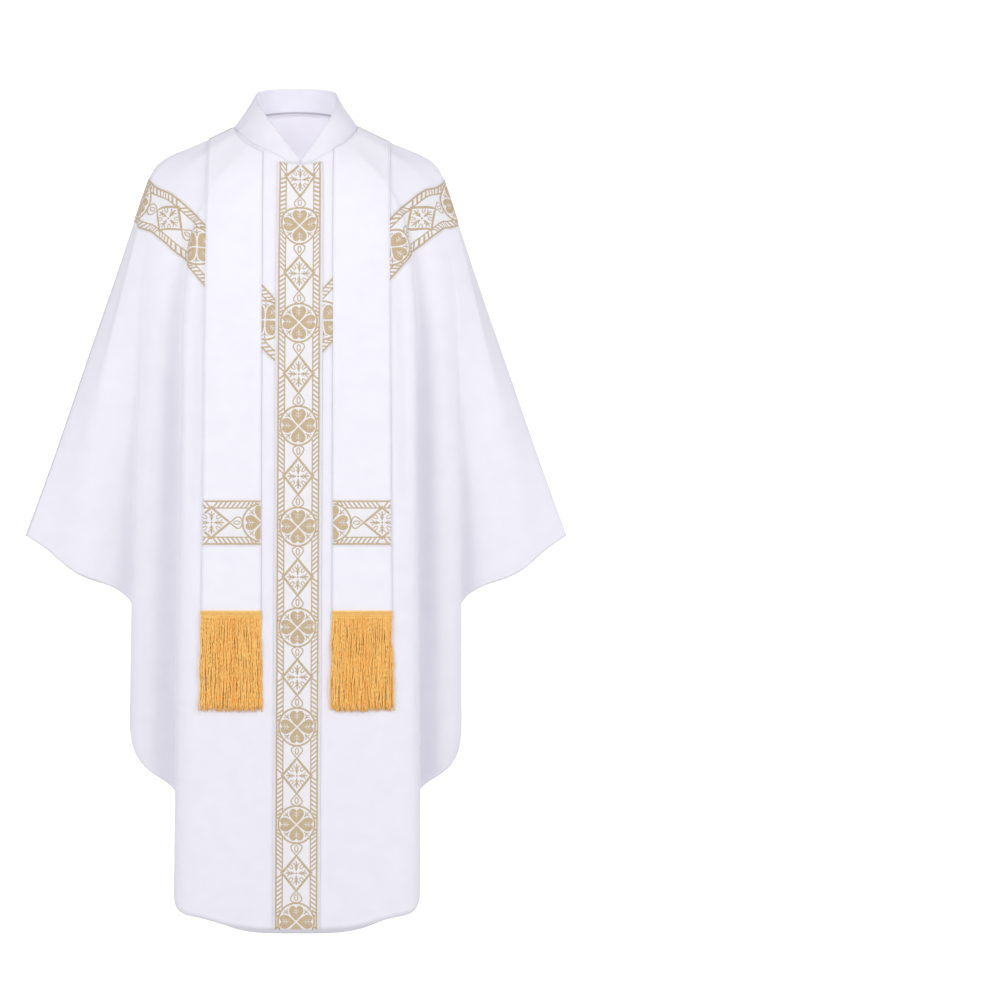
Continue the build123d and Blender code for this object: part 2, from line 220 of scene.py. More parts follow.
def plain_slopes(u, v):
    step = 0.5
    low, high = np.maximum(v - step, 0.0), np.minimum(v + step, HEM_V)
    along_u = (plain_cloth(u + step, v) - plain_cloth(u - step, v)) / (2 * step)
    along_v = (plain_cloth(u, high) - plain_cloth(u, low)) / (high - low)[:, None]
    return along_u, along_v


def outward(u, v):
    normal = -np.cross(*plain_slopes(u, v))
    return normal / np.linalg.norm(normal, axis=1)[:, None]


def ripple(u, v):
    """Soft unevenness of hanging cloth, in mm: long shallow waves that grow towards the hem."""
    turn = 2 * math.pi * u / LOOP_U
    fall = np.clip(v / HEM_V, 0, 1)
    waves = np.sin(11 * turn + 0.8 + 1.2 * np.sin(3.1 * fall + turn))
    waves = waves + 0.6 * np.sin(19 * turn + 2.1 + 2.0 * fall)
    groove = 0.0
    for place in (GROOVE_U, LOOP_U - GROOVE_U):
        groove = groove + np.exp(-((u % LOOP_U - place) / 9.0) ** 2)
    groove = groove * 3.2 * np.exp(-((fall - 0.36) / 0.16) ** 4)
    drift = 0.5 * np.sin(5 * turn + 7 * fall) + 0.35 * np.sin(8 * turn - 11 * fall + 1.0)
    return 1.5 * fall ** 1.3 * waves + 0.9 * drift * np.sqrt(fall) - groove


def cloth(u, v, lift=0.0):
    """Points of the draped cloth, lifted off it along its normal."""
    u, v = np.broadcast_arrays(np.asarray(u, float), np.asarray(v, float))
    shape = u.shape
    u, v = u.ravel(), v.ravel()
    height = ripple(u, v) + np.broadcast_to(lift, shape).ravel()
    return (plain_cloth(u, v) + outward(u, v) * height[:, None]).reshape(shape + (3,))


def locate(x, z, limit):
    """Parameters of the places seen at (x, z) from the front, as arrays."""
    x, z = np.broadcast_arrays(np.asarray(x, float), np.asarray(z, float))
    shape = x.shape
    goal = np.stack([x.ravel(), z.ravel()], axis=1)
    grid_u, grid_v = np.meshgrid(np.linspace(-limit, limit, 61) * 0.99, np.linspace(0, HEM_V, 61))
    grid_u, grid_v = grid_u.ravel(), grid_v.ravel()
    seen = plain_cloth(grid_u, grid_v)[:, [0, 2]]
    start = [int(np.argmin(((seen - g) ** 2).sum(axis=1))) for g in goal]
    u, v = grid_u[start], grid_v[start]
    for _ in range(10):
        along_u, along_v = plain_slopes(u, v)
        miss = goal - plain_cloth(u, v)[:, [0, 2]]
        a, b = along_u[:, [0, 2]], along_v[:, [0, 2]]
        area = a[:, 0] * b[:, 1] - a[:, 1] * b[:, 0]
        area = np.where(np.abs(area) < 1e-3, 1e-3, area)
        u = u + np.clip((miss[:, 0] * b[:, 1] - miss[:, 1] * b[:, 0]) / area, -30, 30)
        v = v + np.clip((a[:, 0] * miss[:, 1] - a[:, 1] * miss[:, 0]) / area, -30, 30)
        u, v = np.clip(u, -limit, limit), np.clip(v, 0.0, HEM_V)
    return u.reshape(shape), v.reshape(shape)


# ---- meshes ---------------------------------------------------------------------------------
def add_object(name, verts, faces, material):
    mesh = bpy.data.meshes.new(name)
    mesh.from_pydata([tuple(p) for p in np.asarray(verts) * MM], [], faces)
    mesh.materials.append(material)
    mesh.polygons.foreach_set("use_smooth", [True] * len(mesh.polygons))
    mesh.update()
    obj = bpy.data.objects.new(name, mesh)
    bpy.context.collection.objects.link(obj)
    return obj


def grid_faces(rows, columns, start=0, flip=False):
    faces = []
    for i in range(rows - 1):
        for j in range(columns - 1):
            a = start + i * columns + j
            quad = (a, a + 1, a + columns + 1, a + columns)
            faces.append(quad[::-1] if flip else quad)
    return faces


def shell_mesh(outer, inner):
    """Vertices and faces of a thin closed mesh: two grids of points joined round the edge."""
    rows, columns = outer.shape[:2]
    verts = np.concatenate([outer.reshape(-1, 3), inner.reshape(-1, 3)])
    half = rows * columns
    faces = grid_faces(rows, columns) + grid_faces(rows, columns, half, flip=True)
    rim = list(range(columns))
    rim += [i * columns + columns - 1 for i in range(1, rows)]
    rim += [(rows - 1) * columns + j for j in range(columns - 2, -1, -1)]
    rim += [i * columns for i in range(rows - 2, 0, -1)]
    faces += [(b, a, a + half, b + half) for a, b in zip(rim, rim[1:] + rim[:1])]
    return verts, faces


def shell(name, outer, inner, material):
    obj = add_object(name, *shell_mesh(outer, inner), material)
    obj.data.validate()
    return obj


def cloth_shell(name, u, v, lift, thick, material):
    """Piece of cloth over grids of u and v."""
    return shell(name, cloth(u, v, lift + thick), cloth(u, v, lift), material)


def tube(points, radius, sides):
    """Vertices and faces of a closed tube along points; radius may be a list."""
    points = np.asarray(points, float)
    radii = np.broadcast_to(radius, len(points))
    ahead = np.gradient(points, axis=0)
    ahead /= np.linalg.norm(ahead, axis=1)[:, None]
    side = np.cross(ahead, [0.0, 1.0, 0.02])
    side /= np.linalg.norm(side, axis=1)[:, None]
    up = np.cross(side, ahead)
    angles = np.linspace(0, 2 * math.pi, sides, endpoint=False)
    ring = np.cos(angles)[None, :, None] * side[:, None, :]
    ring = ring + np.sin(angles)[None, :, None] * up[:, None, :]
    verts = (points[:, None, :] + ring * radii[:, None, None]).reshape(-1, 3)
    faces = []
    for i in range(len(points) - 1):
        for k in range(sides):
            a, b = i * sides + k, i * sides + (k + 1) % sides
            faces.append((a, b, b + sides, a + sides))
    faces.append(tuple(range(sides))[::-1])
    faces.append(tuple(range(len(verts) - sides, len(verts))))
    return verts, faces


class Bundle:
    """Collects many small closed meshes into one object."""

    def __init__(self):
        self.verts, self.faces, self.count = [], [], 0

    def add(self, verts, faces):
        self.verts.append(np.asarray(verts, float))
        self.faces += [tuple(i + self.count for i in face) for face in faces]
        self.count += len(verts)

    def build(self, name, material):
        return add_object(name, np.concatenate(self.verts), self.faces, material)


def add_stitches(bundle, points, first, spare, gap, share, radius):
    """Small stitches along a polyline, one every gap, from first to spare before the end."""
    for start in np.arange(first, length_along(points)[-1] - spare, gap):
        stitch = points_at(np.linspace(start, start + gap * share, 4), points)
        bundle.add(*tube(stitch, [radius * 0.5, radius, radius, radius * 0.5], 4))


# ---- materials ------------------------------------------------------------------------------
class Nodes:
    """Short way to write a node tree."""

    def __init__(self, name):
        self.material = bpy.data.materials.new(name)
        self.material.use_nodes = True
        self.tree = self.material.node_tree
        self.shader = self.tree.nodes["Principled BSDF"]

    def add(self, kind, inputs=None, **settings):
        node = self.tree.nodes.new(kind)
        for key, value in settings.items():
            setattr(node, key, value)
        for key, value in (inputs or {}).items():
            if isinstance(value, bpy.types.NodeSocket):
                self.tree.links.new(value, node.inputs[key])
            else:
                node.inputs[key].default_value = value
        return node

    def link(self, socket, name):
        self.tree.links.new(socket, self.shader.inputs[name])

    def fix(self, values):
        for name, value in values.items():
            self.shader.inputs[name].default_value = value

    def tint(self, factor, dark_tone_and_shade, colour):
        """Base colour between colour and a darker end that holds darker tone and painted shade."""
        mix = self.add("ShaderNodeMix", data_type="RGBA")
        self.tree.links.new(factor, mix.inputs[0])
        mix.inputs[6].default_value = linear(dark_tone_and_shade)
        mix.inputs[7].default_value = linear(colour)
        self.link(mix.outputs[2], "Base Color")

    def relief(self, height, strength, depth):
        bump = self.add("ShaderNodeBump", {"Height": height, "Strength": strength, "Distance": depth})
        self.link(bump.outputs["Normal"], "Normal")

    def roughness(self, source, middle, reach):
        ramp = self.add("ShaderNodeMapRange", {"Value": source, "To Min": middle - reach,
                                               "To Max": middle + reach})
        self.link(ramp.outputs["Result"], "Roughness")


def linear(colour):
    """Colour for a socket, from the values seen on a screen."""
    return tuple(c / 12.92 if c <= 0.04045 else ((c + 0.055) / 1.055) ** 2.4 for c in colour) + (1.0,)


def woven(name, colour, shade, pitch, bump, roughness, sheen, mottle=35.0):
    """Plain-woven cloth: two crossed sets of threads with painted shade where they dip, slow unevenness
    and a soft sheen.
    """
    n = Nodes(name)
    coords = n.add("ShaderNodeTexCoord").outputs["Object"]
    weave = {"Vector": coords, "Scale": 1.0 / pitch, "Distortion": 0.6, "Detail": 1.0}
    warp = n.add("ShaderNodeTexWave", weave, bands_direction="X")
    weft = n.add("ShaderNodeTexWave", weave, bands_direction="Z")
    threads = n.add("ShaderNodeMath", {0: warp.outputs["Fac"], 1: weft.outputs["Fac"]},
                    operation="MULTIPLY")
    slubs = n.add("ShaderNodeTexNoise", {"Vector": coords, "Scale": 900.0, "Detail": 2.0})
    height = n.add("ShaderNodeMath", {0: threads.outputs[0], 1: slubs.outputs["Fac"]}, operation="ADD")
    n.relief(height.outputs[0], bump, 0.0004)
    cloud = n.add("ShaderNodeTexNoise", {"Vector": coords, "Scale": mottle, "Detail": 4.0})
    # Painted shade: the colour darkens where the crossed threads dip, along with the slow uneven tone of
    # the cloud.
    tone_and_weave_shade = n.add("ShaderNodeMath", {0: cloud.outputs["Fac"], 1: threads.outputs[0]}, operation="ADD")
    ramp = n.add("ShaderNodeMapRange", {"Value": tone_and_weave_shade.outputs[0], "From Min": 0.3, "From Max": 1.3})
    n.tint(ramp.outputs["Result"], shade, colour)
    n.roughness(slubs.outputs["Fac"], roughness, 0.06)
    n.fix({"Sheen Weight": sheen, "Sheen Roughness": 0.5, "Specular IOR Level": 0.25})
    return n.material


def thread(name, colour, dark_tone_and_shade, scale, roughness, metal, sheen=0.3, spread=0.0):
    """Twisted or woven thread: fine streaks whose hollows are darkened as painted shade, with a silky
    gloss.

    spread is how much one closed piece of thread differs from the next.
    """
    n = Nodes(name)
    coords = n.add("ShaderNodeTexCoord").outputs["Object"]
    wave = n.add("ShaderNodeTexWave", {"Vector": coords, "Scale": scale, "Distortion": 2.5, "Detail": 2.0,
                                       "Detail Scale": 2.0}, bands_direction="DIAGONAL")
    noise = n.add("ShaderNodeTexNoise", {"Vector": coords, "Scale": scale * 0.35, "Detail": 3.0})
    # Painted shade: the colour darkens in the hollows of the streaks, along with random tone from the
    # noise and from one piece to the next.
    hollow_shade_and_tone = n.add("ShaderNodeMath", {0: wave.outputs["Fac"], 1: noise.outputs["Fac"]}, operation="ADD")
    island = n.add("ShaderNodeNewGeometry").outputs["Random Per Island"]
    varied = n.add("ShaderNodeMath", {0: island, 1: spread, 2: hollow_shade_and_tone.outputs[0]}, operation="MULTIPLY_ADD")
    factor = n.add("ShaderNodeMapRange", {"Value": varied.outputs[0], "From Min": 0.35,
                                          "From Max": 1.4 + spread})
    n.tint(factor.outputs["Result"], dark_tone_and_shade, colour)
    n.relief(wave.outputs["Fac"], 0.35, 0.0003)
    n.roughness(noise.outputs["Fac"], roughness, 0.08)
    n.fix({"Metallic": metal, "Sheen Weight": sheen, "Sheen Tint": linear(colour),
           "Specular IOR Level": 0.4})
    return n.material


CLOTH = woven("white_cloth", (0.955, 0.945, 0.975), (0.925, 0.915, 0.95), 0.0011, 0.25, 0.85, 0.15)
COLLAR_CLOTH = woven("collar_cloth", (0.945, 0.935, 0.965), (0.915, 0.905, 0.94), 0.0011, 0.25, 0.85, 0.15)
LINING = woven("lining_cloth", (0.925, 0.915, 0.95), (0.89, 0.88, 0.92), 0.0008, 0.15, 0.7, 0.1)
STOLE_CLOTH = woven("stole_cloth", (0.962, 0.953, 0.98), (0.935, 0.925, 0.957), 0.0011, 0.25, 0.85, 0.15)
RIBBON = woven("galloon_ribbon", (0.965, 0.955, 0.97), (0.93, 0.92, 0.935), 0.0008, 0.35, 0.6, 0.25, 60.0)
GOLD = thread("gold_thread", (0.83, 0.745, 0.61), (0.70, 0.61, 0.47), 650.0, 0.5, 0.10)
WHITE_THREAD = thread("white_thread", (0.97, 0.96, 0.97), (0.88, 0.87, 0.90), 650.0, 0.6, 0.0)
GREY_THREAD = thread("overlock_thread", (0.62, 0.60, 0.66), (0.36, 0.35, 0.40), 500.0, 0.7, 0.0)
FRINGE = thread("fringe_rayon", (1.0, 0.85, 0.52), (1.0, 0.67, 0.25), 420.0, 0.36, 0.0, 1.0, 1.2)
HEADER = thread("fringe_header", (1.0, 0.87, 0.56), (1.0, 0.74, 0.36), 420.0, 0.36, 0.0, 1.0)


# ---- panels ---------------------------------------------------------------------------------
PANEL_THICK = 0.7
PANEL_COLUMNS = 301
PANEL_ROWS = 150
HEM_WIDTH = 14.0
HEM_STITCH = 4.0
SEAM_GAP = 0.2           # half the gap between front and back along the ridge
PANEL_ENDS = {"front": (-RIDGE_U, RIDGE_U), "back": (RIDGE_U, LOOP_U - RIDGE_U)}


def column_places(start, end, count):
    """Columns at nearly even distances round the lower part of the cloth."""
    fine = np.linspace(start, end, 1601)
    track = plain_cloth(fine, np.full_like(fine, HEM_V * 0.8))
    length = length_along(track)
    length += np.linspace(0, length[-1] * 0.5, len(fine))
    return np.interp(np.linspace(0, length[-1], count), length, fine)


def panel(side):
    start, end = PANEL_ENDS[side]
    u = column_places(start + SEAM_GAP, end - SEAM_GAP, PANEL_COLUMNS)
    grid_u, grid_v = np.meshgrid(u, np.linspace(0, HEM_V, PANEL_ROWS), indexing="ij")
    obj = cloth_shell(side + "_cloth", grid_u, grid_v, -PANEL_THICK, PANEL_THICK, CLOTH)
    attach(obj, "garment")
    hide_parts(side + "_panel")
    return obj


front = panel("front")
back = panel("back")


def hem_stitches(side):
    start, end = PANEL_ENDS[side]
    u = column_places(start + 2, end - 2, 900)
    line = cloth(u, np.full_like(u, HEM_V - HEM_WIDTH), 0.12)
    stitches = Bundle()
    add_stitches(stitches, line, HEM_STITCH, HEM_STITCH, HEM_STITCH, 0.72, 0.22)
    stitches = stitches.build(side + "_hem_stitches", WHITE_THREAD)
    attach(stitches, "garment")


hem_stitches("front")
hem_stitches("back")


# ---- galloon pattern (mm, s along the band, t across it) ------------------------------------
PERIOD = 158.6           # circle to circle
OUTER_LINE = 34.4
INNER_LINE = 23.6
RING_ALONG = 30.4
RING_ACROSS = 30.6
DIAMOND_ALONG = 28.6
DIAMOND_ACROSS = 24.2


def curve(points, count):
    return spline_through([(a, b, 0.0) for a, b in points], count)[:, :2]


def turned(points, centre, angle):
    c, s = math.cos(angle), math.sin(angle)
    points = np.asarray(points, float)
    return np.stack([centre[0] + points[:, 0] * c - points[:, 1] * s,
                     centre[1] + points[:, 0] * s + points[:, 1] * c], axis=1)


def oval(centre, along, across, angle=0.0, count=20):
    turns = np.linspace(0, 2 * math.pi, count, endpoint=False)
    return turned(np.stack([along * np.cos(turns), across * np.sin(turns)], axis=1), centre, angle)


class Pattern:
    """Gold strokes and filled shapes, and white strokes on top of them, in band coordinates."""

    def __init__(self):
        self.strokes, self.fills, self.whites = [], [], []

    def stroke(self, points, width, closed=False):
        self.strokes.append((np.asarray(points, float), width, closed))

    def circle_motif(self, s):
        self.stroke(oval((s, 0), RING_ALONG, RING_ACROSS, count=56), 3.0, True)

        def placed(points, angle):
            return turned(points, (0, 0), angle) * (1.04, 1.11) + (s, 0)

        half = curve([(2.0, 0.6), (6.5, 4.9), (11.5, 8.9), (16.5, 11.0), (21.5, 10.1), (24.7, 6.8),
                      (24.7, 3.2), (22.2, 0.5)], 17)
        heart = np.concatenate([half, (half * [1, -1])[::-1]])
        for k in range(4):
            angle = k * math.pi / 2
            self.fills.append(placed(heart, angle))
            self.whites.append((placed([(21.8, 0), (16.5, 0), (10.5, 0)], angle), 0.9, False))
            diagonal = angle + math.pi / 4
            self.stroke(placed([(16.6, 0), (21.0, 0), (25.8, 0)], diagonal), 1.7)
            for sign in (-1, 1):
                for foot in (12.8, 16.6):
                    prong = [(foot, 0), (foot + 2.0, 2.0 * sign), (foot + 3.0, 4.4 * sign)]
                    self.whites.append((placed(prong, angle), 0.8, False))
                twig = [(19.4, 0), (22.0, 2.0 * sign), (23.2, 4.8 * sign)]
                self.stroke(placed(twig, diagonal), 1.5)

    def diamond_motif(self, s):
        corners = [(DIAMOND_ALONG, 0), (0, DIAMOND_ACROSS), (-DIAMOND_ALONG, 0), (0, -DIAMOND_ACROSS)]
        outline = []
        for a, b in zip(corners, corners[1:] + corners[:1]):
            outline += [(s + a[0] + (b[0] - a[0]) * k / 8, a[1] + (b[1] - a[1]) * k / 8)
                        for k in range(8)]
        self.stroke(outline, 3.7, True)
        self.fills.append(oval((s, 0), 1.7, 1.7, count=12))
        for sign in (-1, 1):
            wedge = [(5.0, 22.6), (2.0, 24.8), (0, 28.2), (-2.0, 24.8), (-5.0, 22.6), (0, 22.0)]
            self.fills.append(np.array([(s + a, b * sign) for a, b in wedge]))
        for k in range(4):
            reach = 1.0 if k % 2 == 0 else 0.93
            angle = k * math.pi / 2
            stem = np.array([(3.8, 0), (11.0, 0), (19.4, 0)]) * [reach, 1]
            self.stroke(turned(stem, (s, 0), angle), 2.1)
            for sign in (-1, 1):
                for prong, width in (([(9.5, 0), (13.4, 2.0), (16.6, 5.2)], 1.7),
                                     ([(5.0, 0), (8.0, 1.4), (10.2, 3.4)], 1.3)):
                    self.stroke(turned(np.array(prong) * [reach, sign], (s, 0), angle), width)
            diagonal = math.atan2(DIAMOND_ACROSS, DIAMOND_ALONG) * (1 if k % 2 == 0 else -1)
            diagonal = diagonal + (math.pi if k > 1 else 0.0)
            centre = (s + 14.4 * math.cos(diagonal), 14.8 * math.sin(diagonal))
            self.stroke(oval(centre, 4.6, 2.4, diagonal, 16), 1.6, True)

    def drop(self, s, towards):
        """Drop from the ring round a circle at s to the point of the next diamond."""
        base = RING_ALONG + 1.0
        tip = PERIOD / 2 - DIAMOND_ALONG
        half = curve([(base, 2.2), (base + 1.2, 6.4), (base + 5.0, 9.4), (base + 9.4, 8.2),
                      (base + 14.6, 4.0), (tip, 0.2)], 13)
        for sign in (-1, 1):
            self.stroke(np.array([(s + a * towards, b * sign) for a, b in half]), 2.1)
        self.stroke(oval((s + (base + 8.0) * towards, 0), 5.2, 2.7, count=18), 1.8, True)

    def rope(self, s, towards, sign):
        """Slanted strokes of one border between a diamond at s and the next circle."""
        gap = 7.3
        for k in range(10):
            here = 3.4 + gap * k
            to_circle = PERIOD / 2 - here
            inner = INNER_LINE + 0.6
            if to_circle < RING_ALONG + 1:
                inner = max(inner, math.sqrt(max((RING_ACROSS + 1.6) ** 2 - to_circle ** 2, 0)))
            outer = OUTER_LINE - 0.4
            if outer - inner < 2.0:
                continue
            share = (outer - inner) / (OUTER_LINE - INNER_LINE)
            line = [(here + 6.2 * share, outer), (here + 4.6 * share, outer * 0.72 + inner * 0.28),
                    (here + 1.6 * share, outer * 0.35 + inner * 0.65), (here - 1.2 * share, inner)]
            line = curve(line, 7)
            self.stroke(np.array([(s + a * towards, b * sign) for a, b in line]), 2.5)

    def inner_line(self, s, towards, sign):
        """Inner border line between a diamond at s and the ring of the next circle."""
        stop = PERIOD / 2 - math.sqrt(RING_ALONG ** 2 - INNER_LINE ** 2)
        stops = np.linspace(0.0, stop, 15)
        self.stroke(np.array([(s + a * towards, INNER_LINE * sign) for a in stops]), 2.0)


def galloon_pattern(start, end, first_circle, narrow=0.97):
    """The whole pattern between two ends of a band; narrow squeezes it across."""
    pattern = Pattern()
    low = math.floor((start - first_circle) / PERIOD) - 1
    high = math.ceil((end - first_circle) / PERIOD) + 1
    for k in range(low, high + 1):
        s = first_circle + k * PERIOD
        pattern.circle_motif(s)
        pattern.diamond_motif(s + PERIOD / 2)
        for towards in (-1, 1):
            pattern.drop(s, towards)
            for sign in (-1, 1):
                pattern.rope(s + PERIOD / 2, towards, sign)
                pattern.inner_line(s + PERIOD / 2, towards, sign)
    stops = np.arange(start, end + 5.0, 5.0)
    for sign in (-1, 1):
        pattern.stroke(np.stack([stops, np.full_like(stops, OUTER_LINE * sign)], axis=1), 2.6)
    for lines in (pattern.strokes, pattern.whites):
        lines[:] = [(points * [1, narrow], width, closed) for points, width, closed in lines]
    pattern.fills = [points * [1, narrow] for points in pattern.fills]
    return pattern


def clipped(points, inside):
    """Stretches of a polyline whose points are inside."""
    keep = np.concatenate([[False], inside(points), [False]])
    turns = np.flatnonzero(keep[1:] != keep[:-1])
    return [points[a:b] for a, b in zip(turns[::2], turns[1::2]) if b - a > 1]


def stroke_mesh(points, width, closed, place, base, height):
    """Ridge with a rounded top along a polyline, closed below; place puts points on the cloth."""
    if closed:
        points = np.concatenate([points, points[:1]])
    ahead = np.gradient(points, axis=0)
    if closed:
        ahead[0] = ahead[-1] = points[1] - points[-2]
    ahead /= np.maximum(np.linalg.norm(ahead, axis=1)[:, None], 1e-9)
    side = np.stack([-ahead[:, 1], ahead[:, 0]], axis=1)
    if closed:
        points, side = points[:-1], side[:-1]
    rails = []
    for offset, share in ((-0.5, 0.0), (-0.32, 0.8), (0.0, 1.0), (0.32, 0.8), (0.5, 0.0)):
        spot = points + side * width * offset
        rails.append(place(spot[:, 0], spot[:, 1], base + height * share))
    verts = np.stack(rails, axis=1)
    count, sides = verts.shape[:2]
    faces = []
    for i in range(count if closed else count - 1):
        j = (i + 1) % count
        for k in range(sides):
            m = (k + 1) % sides
            faces.append((i * sides + k, i * sides + m, j * sides + m, j * sides + k))
    if not closed:
        faces.append(tuple(range(sides))[::-1])
        faces.append(tuple(range((count - 1) * sides, count * sides)))
    return verts.reshape(-1, 3), faces


def fill_mesh(points, place, base, height):
    """Raised shape with a bevelled rim; rings inside its outline let it follow the cloth."""
    centre = points.mean(axis=0)
    count = len(points)
    layers = [(1.0, 0.0), (1.0, 0.6), (0.95, 1.0), (0.62, 1.0), (0.3, 1.0)]
    verts, faces = [], []
    for size, share in layers:
        ring = centre + (points - centre) * size
        verts.append(place(ring[:, 0], ring[:, 1], base + height * share))
    verts.append(place(centre[:1], centre[1:], base + height))
    for layer in range(len(layers) - 1):
        for i in range(count):
            j = (i + 1) % count
            a, b = layer * count + i, layer * count + j
            faces.append((a, b, b + count, a + count))
    last = (len(layers) - 1) * count
    faces += [(last + i, last + (i + 1) % count, last + count) for i in range(count)]
    faces.append(tuple(range(count))[::-1])
    return np.concatenate(verts), faces


class Band:
    """A galloon laid on the cloth: grids of u and v over (s along, t across)."""

    def __init__(self, s, t, u, v, lift):
        self.s, self.t, self.u, self.v, self.lift = s, t, u, v, lift

    def lookup(self, values, s, t):
        i = np.clip((s - self.s[0]) / (self.s[1] - self.s[0]), 0, len(self.s) - 1.001)
        j = np.clip((t - self.t[0]) / (self.t[1] - self.t[0]), 0, len(self.t) - 1.001)
        a, b = i.astype(int), j.astype(int)
        p, q = i - a, j - b
        low = values[a, b] * (1 - q) + values[a, b + 1] * q
        high = values[a + 1, b] * (1 - q) + values[a + 1, b + 1] * q
        return low * (1 - p) + high * p

    def place(self, s, t, lift):
        return cloth(self.lookup(self.u, s, t), self.lookup(self.v, s, t), self.lift + lift)

    def inside(self, points):
        return ((points[:, 0] >= self.s[0]) & (points[:, 0] <= self.s[-1])
                & (points[:, 1] >= self.t[0]) & (points[:, 1] <= self.t[-1]))


RIBBON_THICK = 0.5
GOLD_HEIGHT = 0.32
GOLD_BASE = RIBBON_THICK - 0.05       # strokes start a little inside what carries them
WHITE_HEIGHT = 0.3
WHITE_BASE = RIBBON_THICK + GOLD_HEIGHT - 0.12


def make_band(name, band, pattern, node, body, ends=None):
    """Ribbon with its woven pattern; ends give the first and last s at each t when it is cut askew."""
    if ends is None:
        ends = np.full_like(band.t, band.s[0]), np.full_like(band.t, band.s[-1])
    share = np.linspace(0, 1, len(band.s))[:, None]
    s = ends[0] * (1 - share) + ends[1] * share
    t = np.broadcast_to(band.t, s.shape)
    ribbon = cloth_shell(name, band.lookup(band.u, s, t), band.lookup(band.v, s, t), band.lift,
                         RIBBON_THICK, RIBBON)
    gold, white = Bundle(), Bundle()

    def inside(points):
        first, last = (np.interp(points[:, 1], band.t, end) for end in ends)
        return band.inside(points) & (points[:, 0] >= first) & (points[:, 0] <= last)

    for points, width, closed in pattern.strokes:
        if inside(points).all():
            gold.add(*stroke_mesh(points, width, closed, band.place, GOLD_BASE, GOLD_HEIGHT))
            continue
        if closed:
            points = np.concatenate([points, points[:1]])
        for run in clipped(points, inside):
            gold.add(*stroke_mesh(run, width, False, band.place, GOLD_BASE, GOLD_HEIGHT))
    for points in pattern.fills:
        kept = points[inside(points)]
        if len(kept) > 5:
            gold.add(*fill_mesh(kept, band.place, GOLD_BASE, GOLD_HEIGHT))
    for points, width, closed in pattern.whites:
        if inside(points).all():
            white.add(*stroke_mesh(points, width, closed, band.place, WHITE_BASE, WHITE_HEIGHT))
    for sign in (-1, 1):
        side = 0 if sign < 0 else -1
        run = np.arange(ends[0][side], ends[1][side], 3.0)
        edge = np.stack([run, np.full_like(run, (GALLOON_WIDTH / 2 - 0.9) * sign)], axis=1)
        white.add(*stroke_mesh(edge, 1.6, False, band.place, RIBBON_THICK - 0.1, 0.35))
    gold = gold.build(name + "_gold", GOLD)
    white = white.build(name + "_selvedge", WHITE_THREAD)
    for obj in (ribbon, gold, white):
        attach(obj, body)
    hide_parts(node)


HALF_BAND = GALLOON_WIDTH / 2
ACROSS = np.linspace(-HALF_BAND, HALF_BAND, 9)
# Heights of the circles on the front and on the back; the arc between neighbours is one period.
FRONT_CIRCLES = (-16.0, -160.0, -312.0, -475.0, -633.0, -791.0, -947.0, -1100.0, -1252.0)
BACK_CIRCLES = (-14.0, -160.0, -318.0, -475.0, -634.0, -792.0, -950.0, -1105.0, -1260.0)
BAND_TOP_Z = -59.0


def centre_band(name, circles, back_side, node):
    """Band down the middle of the front or the back; s counts periods, so circles land in place."""
    centre = LOOP_U / 2 if back_side else 0.0
    fine = np.linspace(0.5, HEM_V - 0.5, 900)
    z = plain_cloth(np.full_like(fine, centre), fine)[:, 2]
    marks = [circles[0] * 2 - circles[1]] + list(circles) + [circles[-1] * 2 - circles[-2]]
    along = np.interp(-z, [-m for m in marks], (np.arange(len(marks)) - 1) * PERIOD)
    s = np.linspace(along[0], along[-1], 220)
    v = np.interp(s, along, fine)
    stretch = np.linalg.norm(plain_slopes(np.full_like(v, centre), v)[0], axis=1)
    sign = -1.0 if back_side else 1.0
    u = centre + ACROSS[None, :] * sign / stretch[:, None]
    grid_v = np.broadcast_to(v[:, None], u.shape).copy()
    band = Band(s, ACROSS, u, grid_v, 1.0)
    ends = np.full_like(ACROSS, s[0]), np.full_like(ACROSS, s[-1])
    if not back_side:
        heights = plain_cloth(u.ravel(), grid_v.ravel())[:, 2].reshape(u.shape)
        for j in range(len(ACROSS)):
            ends[0][j] = np.interp(-BAND_TOP_Z, -heights[:, j], s)
    pattern = galloon_pattern(s[0], s[-1], 0.0, 0.925)
    make_band(name, band, pattern, node, "garment", ends)


centre_band("front_orphrey_ribbon", FRONT_CIRCLES, False, "front_orphrey")
centre_band("back_orphrey_ribbon", BACK_CIRCLES, True, "back_orphrey")


def band_heights(x):
    middle = np.array(BAND_MIDDLE, float)
    return weights(x, middle[:, 0], bends(middle[:, 0], False), False) @ middle[:, 1]


def band_middle(u):
    """Where the guides u cross the middle line of the shoulder band."""
    high, low = np.zeros_like(u), np.full_like(u, HEM_V * 0.6)
    for _ in range(26):
        v = (high + low) / 2
        points = plain_cloth(u, v)
        above = points[:, 2] > band_heights(np.abs(points[:, 0]))
        high, low = np.where(above, v, high), np.where(above, low, v)
    return v


def smoothed(values, times):
    values = values.copy()
    for _ in range(times):
        values[1:-1] = (values[:-2] + 2 * values[1:-1] + values[2:]) / 4
    return values


def metric(u, v):
    """Lengths and angle of small steps along u and v on the cloth."""
    along_u, along_v = plain_slopes(u, v)
    return (along_u ** 2).sum(axis=1), (along_u * along_v).sum(axis=1), (along_v ** 2).sum(axis=1)


